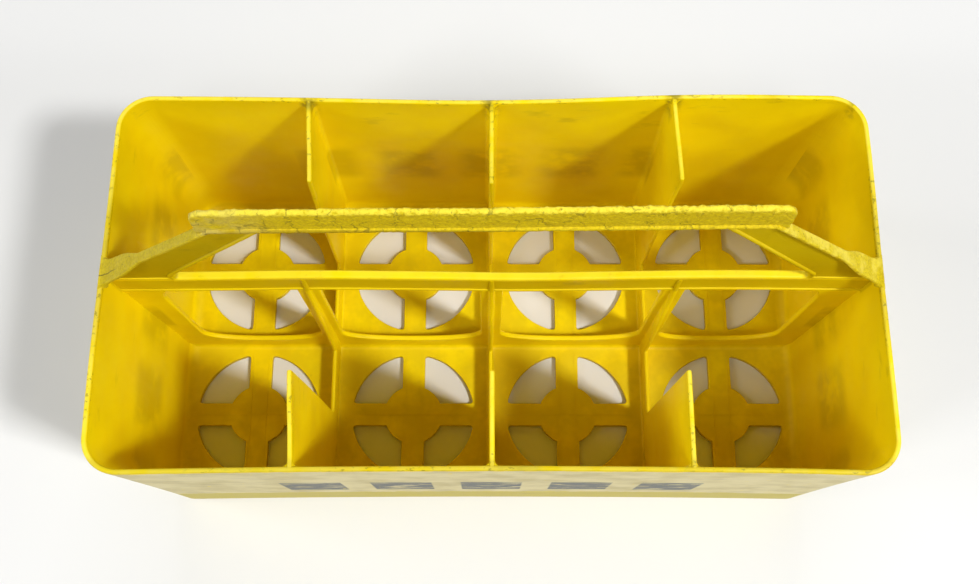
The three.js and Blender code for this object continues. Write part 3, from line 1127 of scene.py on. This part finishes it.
def relief(tree, *layers):
    """Bumps laid over each other, each a mask and its height in mm."""
    below = {}
    for raised, millimetres in layers:
        inputs = {"Height": raised, "Distance": millimetres * MM, "Strength": 1.0}
        below = {"Normal": add(tree, "ShaderNodeBump", {**inputs, **below})}
    return below["Normal"]


def ended(made, tree, body, roughness, normal, specular):
    """Closes a material with its shader."""
    shader = add(tree, "ShaderNodeBsdfPrincipled", {
        "Base Color": body, "Roughness": roughness, "Normal": normal, "IOR": PLASTIC_IOR,
        "Specular IOR Level": specular,
    })
    add(tree, "ShaderNodeOutputMaterial", {"Surface": shader})
    return made


def printed_blocks(tree, place, far, softness):
    """A row of plain blocks along every wall, with edges as soft as given in mm."""
    x, y, z = place
    on_end = mask(tree, (far[0], 140, 141))
    along = add(tree, "ShaderNodeMix", {0: on_end, 2: x, 3: y}, data_type="FLOAT")
    far_along = add(tree, "ShaderNodeMath", {0: along}, operation="ABSOLUTE")
    beside = add(tree, "ShaderNodeMath", {0: along, 1: BLOCK_PITCH / 2}, operation="PINGPONG")
    half = BLOCK_WIDTH / 2
    return mask(
        tree, (z, BLOCK_LOW - softness, BLOCK_LOW + softness),
        (z, BLOCK_HIGH - softness, BLOCK_HIGH + softness, 1.0, 0.0),
        (beside, half - softness, half + softness, 1.0, 0.0),
        (far_along, BLOCK_REACH, BLOCK_REACH + 1, 1.0, 0.0),
    )


def moulded_polyethylene(colours):
    """Injection-moulded high-density polyethylene: a waxy satin skin, even in colour but for pale rubbed edges,
    soft print showing through, and dark nicks, smudges and scuffs, with painted shade on the plates round the hand
    hole, under the rod, on the floor and in its openings, and in the corners where dividers meet the rim."""
    made, tree, where, place, far = new_material("moulded polyethylene")
    x, y, z = place
    far_x, far_y = far
    floor = size("floor")
    top = size("rim_height")
    web_top = size("web_top")
    # the print outside shows softly through the walls
    on_wall = greatest(tree, mask(tree, (far_x, 141, 143)), mask(tree, (far_y, 67, 69)))
    faded = product(tree, patches(tree, where, 20, 0.3, 0.55), 0.3)
    shown = product(tree, printed_blocks(tree, place, far, 5.0), on_wall, faded)
    # hands and bottles rub the rim and the rod pale
    middle = mask(tree, (far_y, 3.0, 2.0))
    rod = mask(
        tree, (z, web_top - 2.5, web_top - 0.8), (z, web_top + 0.7, web_top + 0.3), (far_y, 3.0, 2.0)
    )
    rim = mask(tree, (z, top + 1.0, top + 0.6), (far_y, 3.5, 4.5))
    crest = product(tree, mask(tree, (z, top - 0.6, top - 0.1)), rim)
    rubbed = greatest(tree, crest, product(tree, rod, 0.25))
    rubbed = product(tree, rubbed, patches(tree, where, 9, 0.3, 0.6), 0.55)
    # painted shade darkens the plates and bead round the hand hole, most to the left, and the web's face between
    # the ledge and the rod; a film of old dirt dulls the rim where it is touched most
    edge = product(tree, mask(tree, (z, top - 2.2, top - 1.2)), rim)
    near_arm = mask(tree, (far_x, 145, 147), (far_y, 44, 12))
    touched = greatest(tree, near_arm, mask(tree, (y, -70, -73)))
    # painted shade on the web's face under the rod
    below = mask(
        tree, (z, WINDOW_TOP - 0.7, WINDOW_TOP + 1.3), (z, web_top - 2.7, web_top - 3.5, 0.0, 0.3)
    )
    # painted shade on the arm plates and bead round the hand hole, strongest on the left
    above = mask(
        tree, (z, web_top - 0.1, web_top + 0.5), (far_y, 1.3, 1.6, 0.62, 0.4), (x, 60, -60, 0.75, 1.0)
    )
    film_and_painted_shade = product(tree, greatest(tree, below, above), middle)
    film_and_painted_shade = greatest(tree, film_and_painted_shade, product(tree, touched, edge, 0.3))
    # dust lies on the floor in patches, which also stand in as painted shadow, and the sides of its openings are
    # darkened as painted shade
    dust = mask(tree, (z, floor + 3, floor + 1, 0.0, 0.2))
    dust = product(tree, dust, patches(tree, where, 14, 0.3, 0.6))
    dust = greatest(tree, dust, mask(tree, (z, floor - 0.03, floor - 0.25, 0.0, 0.45)))
    # dirt sits in nicks of the rim and the rod and in thin scuffs, and painted shade darkens the corners where
    # dividers meet the back rim
    often = greatest(tree, near_arm, patches(tree, where, 22, 0.44, 0.56))
    nicked = greatest(tree, edge, product(tree, rod, 0.2))
    nicks = patches(tree, where, 1.0, 0.55, 0.66, (2.6, 1.6, 0.7))
    nicks = product(tree, nicks, often, nicked, 0.5)
    # painted shade in the corners where the dividers meet the back rim
    column = add(tree, "ShaderNodeMath", {0: x, 1: size("cell_pitch") / 2}, operation="PINGPONG")
    corner = mask(tree, (column, 5, 1), (y, 66, 71), (z, 102, 117, 0.0, 0.6))
    corner = product(tree, corner, patches(tree, where, 6, 0.4, 0.6))
    smudge = patches(tree, where, 12, 0.6, 0.78, (1.8, 1.8, 0.7))
    smudge = product(tree, smudge, mask(tree, (z, 70, 117)), 0.26)
    scuff = product(tree, patches(tree, where, 1.6, 0.7, 0.75, (12, 12, 0.6), 5.0), 0.2)
    body = coats(
        tree, colours.plastic, (patches(tree, where, 45, 0.3, 0.7), colours.plastic_deep),
        (shown, colours.ghost), (rubbed, colours.worn_edge), (film_and_painted_shade, colours.ghost),
        (dust, colours.ghost), (greatest(tree, smudge, scuff, nicks, corner), colours.grime_and_painted_shade),
    )
    rough = add(tree, "ShaderNodeMath", {
        0: patches(tree, where, 14, 0.3, 0.7), 1: 0.1, 2: 0.42,
    }, operation="MULTIPLY_ADD")
    normal = relief(
        tree, (patches(tree, where, WALL_WAVE, 0.2, 0.8, detail=1.0), WALL_WAVE_HEIGHT),
        (patches(tree, where, SKIN_GRAIN, 0.2, 0.8), 0.015),
    )
    return ended(made, tree, body, rough, normal, 0.2)


def screen_printed_polyethylene(colours):
    """The same plastic with a cream ink field screened on its outer walls and slate blocks on
    that: a dry, chalky skin, scuffed through to the plastic at edges and high spots."""
    made, tree, where, place, far = new_material("screen-printed polyethylene")
    z = place[2]
    # below the printed field the bare plastic is duller, partly a painted reflection of the pale floor
    bare = coats(
        tree, colours.plastic, (patches(tree, where, 22, 0.4, 0.65), colours.plastic_deep),
        (mask(tree, (z, 31, 27)), colours.low_band_and_painted_reflection),
    )
    # the ink's lower and upper edges are ragged, and it is worn through in spots
    ragged = add(tree, "ShaderNodeMath", {
        0: patches(tree, where, 5, 0.3, 0.7), 1: 2.4, 2: z,
    }, operation="MULTIPLY_ADD")
    inked = add(tree, "ShaderNodeMath", {
        0: patches(tree, where, 3.5, 0.66, 0.72, (1, 1, 2.2), 6.0), 1: -0.6, 2: 1.0,
    }, operation="MULTIPLY_ADD")
    field = product(tree, mask(tree, (ragged, 29.5, 30.3), (ragged, 118.4, 117.2)), inked)
    # the blocks are rubbed off in streaks along the walls
    unrubbed = add(tree, "ShaderNodeMath", {
        0: patches(tree, where, 6, 0.5, 0.62, (2.5, 2.5, 0.7), 6.0), 1: -0.85, 2: 1.0,
    }, operation="MULTIPLY_ADD")
    blocks = product(tree, printed_blocks(tree, place, far, 0.35), unrubbed)
    ink = coats(
        tree, colours.print_field, (patches(tree, where, 18, 0.35, 0.7), colours.print_dull),
        (blocks, colours.print_block),
    )
    marks = product(tree, patches(tree, where, 1.6, 0.68, 0.74, (8, 8, 0.6), 5.0), 0.4)
    dust = product(tree, patches(tree, where, 9, 0.6, 0.75, (2.5, 2.5, 0.6)), 0.18)
    body = coats(tree, bare, (field, ink), (greatest(tree, marks, dust), colours.grime_and_painted_shade))
    rough = mask(tree, (field, 0.0, 1.0, 0.45, 0.62))
    normal = relief(
        tree, (patches(tree, where, WALL_WAVE, 0.2, 0.8, detail=1.0), WALL_WAVE_HEIGHT),
        (field, 0.04), (patches(tree, where, DRY_GRAIN, 0.2, 0.8), 0.025),
    )
    return ended(made, tree, body, rough, normal, 0.25)


def weathered_polyethylene(colours):
    """Polyethylene that sun and hands have aged: a dull, grainy face with a few dark upright cracks, pale scuffs
    and specks, and bright crumbly crests where it is rubbed, with painted shade on the lip under the grip."""
    made, tree, where, place, far = new_material("weathered polyethylene")
    x, y, z = place
    far_x, far_y = far
    foot = size("grip_foot")
    # bright crumbs lie along the grip's top
    ragged = add(tree, "ShaderNodeMath", {
        0: patches(tree, where, 1.7, 0.25, 0.75), 1: 3.0, 2: z,
    }, operation="MULTIPLY_ADD")
    crumbs = mask(tree, (ragged, GRIP_TOP - 0.9, GRIP_TOP + 1.1))
    crumbs = product(tree, crumbs, patches(tree, where, 1.6, 0.3, 0.5))
    # painted shade darkens the lip under the grip, where light from above strikes it
    lip = mask(
        tree, (z, foot + 0.6, foot - 0.2), (z, foot - 2.2, foot - 1.6), (far_y, 1.3, 1.8, 0.0, 0.55)
    )
    # everything under the grip is an arm
    arm = mask(tree, (z, foot - 2.2, foot - 3.6))
    off_arm = add(tree, "ShaderNodeMath", {0: 1.0, 1: arm}, operation="SUBTRACT")
    # the sun has bleached the left end of the grip
    end = mask(tree, (x, -66, -96, 0.0, 0.4))
    end = product(tree, end, patches(tree, where, 6, 0.3, 0.6), off_arm)
    # the arms are scuffed pale, most of all the right one
    scuffs = mask(tree, (x, -130, 130, 0.15, 0.5))
    scuffs = product(tree, patches(tree, where, 7, 0.42, 0.62), arm, scuffs)
    # cracks run from top to bottom, bent and broken up, and are fainter on the arms
    bent = add(tree, "ShaderNodeTexNoise", {"Vector": where, "Scale": 0.25, "Detail": 4.0})
    shift = add(tree, "ShaderNodeVectorMath", {0: bent.outputs[1], "Scale": 9.0}, operation="SCALE")
    strayed = add(tree, "ShaderNodeVectorMath", {0: where, 1: shift}, operation="ADD")
    tall = add(tree, "ShaderNodeVectorMath", {
        0: strayed, 1: (1 / 9, 1 / 40, 1 / 26),
    }, operation="MULTIPLY")
    cells = add(tree, "ShaderNodeTexVoronoi", {
        "Vector": tall, "Scale": 1.0,
    }, feature="DISTANCE_TO_EDGE")
    fainter = add(tree, "ShaderNodeMath", {0: arm, 1: -0.75, 2: 1.0}, operation="MULTIPLY_ADD")
    crack = mask(tree, (cells, 0.008, 0.03, 1.0, 0.0))
    crack = product(tree, crack, patches(tree, where, 5, 0.42, 0.6), fainter)
    # a long crack splits the left arm's foot
    strayed_y = add(tree, "ShaderNodeMath", {
        0: patches(tree, where, 6, 0.2, 0.8), 1: 0.8, 2: y,
    }, operation="MULTIPLY_ADD")
    beside = add(tree, "ShaderNodeMath", {0: strayed_y, 1: 0.9}, operation="ADD")
    off_split = add(tree, "ShaderNodeMath", {0: beside}, operation="ABSOLUTE")
    split_foot = product(tree, mask(tree, (off_split, 0.1, 0.45, 1.0, 0.0), (x, -139, -145)), 0.75)
    # specks lie in swarms, the arms' ends are dirty and so is the left arm
    specks = patches(tree, where, 1.0, 0.64, 0.7)
    specks = product(tree, specks, patches(tree, where, 13, 0.46, 0.6), 0.6)
    landing = mask(tree, (far_x, 148, 150, 0.0, 0.1))
    left_arm = product(tree, mask(tree, (x, -90, -110, 0.0, 0.16)), arm)
    dirt = greatest(tree, product(tree, crack, 0.42), specks, split_foot, landing, left_arm)
    body = coats(
        tree, colours.grip_dull, (patches(tree, where, 1.1, 0.35, 0.65), colours.grip_face),
        (crumbs, colours.grip_bright), (lip, colours.ghost), (end, colours.bleached),
        (scuffs, colours.worn_edge), (dirt, colours.grime_and_painted_shade),
    )
    rough = add(tree, "ShaderNodeMath", {
        0: patches(tree, where, 3, 0.3, 0.7), 1: 0.12, 2: 0.55,
    }, operation="MULTIPLY_ADD")
    normal = relief(
        tree, (patches(tree, where, 2.4, 0.2, 0.8), 0.2), (crack, -0.15),
        (patches(tree, where, DRY_GRAIN, 0.2, 0.8), 0.09),
    )
    return ended(made, tree, body, rough, normal, 0.2)


def pale_painted_floor(colours):
    """Matt paint on a smooth board: pale and even, with hardly any highlight."""
    made = bpy.data.materials.new("pale painted floor")
    made.use_nodes = True
    shader = made.node_tree.nodes["Principled BSDF"]
    shader.inputs["Base Color"].default_value = (*colours.floor, 1)
    shader.inputs["Roughness"].default_value = 0.6
    return made


FINISHES = {
    "moulded polyethylene": moulded_polyethylene,
    "screen-printed polyethylene": screen_printed_polyethylene,
    "weathered polyethylene": weathered_polyethylene,
    "pale painted floor": pale_painted_floor,
}


def finish(name):
    """The material of that name, made when it is first asked for."""
    made = bpy.data.materials.get(name)
    return made if made else FINISHES[name](bpy.context.scene.carrier_colours)


# Stage

CAMERA_PLACE = (-2.675, -122.598, 509.227)      # mm
CAMERA_DIP = 73.65           # how far below the horizon it looks, and how it is turned, in degrees
CAMERA_YAW = 0.875
CAMERA_ROLL = 0.891
CAMERA_LENS = 39.17
CAMERA_SENSOR = 36
# name, place in metres, width in metres and power in watts of each softbox
SOFTBOXES = (
    ("right", (0.993, -0.574, 1.638), 0.22, 26),
    ("low right", (1.327, -0.766, 1.286), 0.4, 8.5),
    ("low left", (-1.327, -0.766, 1.286), 0.4, 8.5),
    ("front", (0, -0.845, 1.813), 0.3, 4),
    ("left", (-1.732, 0, 1), 0.9, 13),
    ("back", (0, 1.732, 1), 0.9, 13),
)
FLOOR_HALF_WIDTH = 3         # metres
WORLD_COLOUR = (0.9, 0.92, 1, 1)
WORLD_STRENGTH = 0.01


def camera():
    """The camera, which looks steeply down on the carrier from the front."""
    data = bpy.data.cameras.new("camera")
    data.lens = CAMERA_LENS
    data.sensor_width = CAMERA_SENSOR
    data.clip_start = 0.01
    obj = link("camera", data)
    yaw = math.radians(CAMERA_YAW)
    dip = math.radians(CAMERA_DIP)
    forward = Vector((math.sin(yaw) * math.cos(dip), math.cos(yaw) * math.cos(dip), -math.sin(dip)))
    right = Vector((math.cos(yaw), -math.sin(yaw), 0))
    turn = Matrix.Rotation(-math.radians(CAMERA_ROLL), 3, forward)
    right = turn @ right
    up = right.cross(forward)
    basis = Matrix((right, up, -forward)).transposed().to_4x4()
    obj.matrix_world = Matrix.Translation(Vector(CAMERA_PLACE) * MM) @ basis
    bpy.context.scene.camera = obj


def area_light(name, place, width, power):
    """A square softbox that faces the carrier."""
    data = bpy.data.lights.new(name, "AREA")
    data.size = width
    data.energy = power
    obj = link(name, data)
    obj.location = place
    obj.rotation_euler = Vector(place).to_track_quat("Z", "Y").to_euler()


class MakeCarrierStage(bpy.types.Operator):
    """Pale floor, soft studio light and the camera"""

    bl_idname = "carrier.stage"
    bl_label = "Stage"

    def execute(self, context):
        bm = bmesh.new()
        bmesh.ops.create_grid(bm, x_segments=1, y_segments=1, size=FLOOR_HALF_WIDTH)
        floor = from_bmesh("studio_floor", bm, "pale painted floor")
        for softbox in SOFTBOXES:
            area_light(*softbox)
        world = bpy.data.worlds.new("studio")
        world.use_nodes = True
        background = world.node_tree.nodes["Background"]
        background.inputs["Color"].default_value = WORLD_COLOUR
        background.inputs["Strength"].default_value = WORLD_STRENGTH
        context.scene.world = world
        context.scene.view_settings.view_transform = "Standard"
        camera()
        return {"FINISHED"}


class CarrierPanel(bpy.types.Panel):
    """Lists the carrier's pieces, sizes and colours"""

    bl_idname = "VIEW3D_PT_carrier"
    bl_label = "Bottle Carrier"
    bl_space_type = "VIEW_3D"
    bl_region_type = "UI"
    bl_category = "Carrier"

    def draw(self, context):
        for operator in OPERATORS:
            self.layout.operator(operator.bl_idname)
        for group in (context.scene.carrier_sizes, context.scene.carrier_colours):
            column = self.layout.column(align=True)
            for name in group.bl_rna.properties.keys():
                if name not in ("rna_type", "name"):
                    column.prop(group, name)


OPERATORS = (MakeCarrierBody, MakeCarrierGrip, MakeCarrierStage)
CLASSES = (CarrierSizes, CarrierColours, *OPERATORS, CarrierPanel)


def register():
    for cls in CLASSES:
        bpy.utils.register_class(cls)
    bpy.types.Scene.carrier_sizes = bpy.props.PointerProperty(type=CarrierSizes)
    bpy.types.Scene.carrier_colours = bpy.props.PointerProperty(type=CarrierColours)


def unregister():
    del bpy.types.Scene.carrier_colours
    del bpy.types.Scene.carrier_sizes
    for cls in reversed(CLASSES):
        bpy.utils.unregister_class(cls)


def main():
    register()
    bpy.ops.carrier.body()
    bpy.ops.carrier.grip()
    bpy.ops.carrier.stage()


if __name__ == "__main__":
    main()
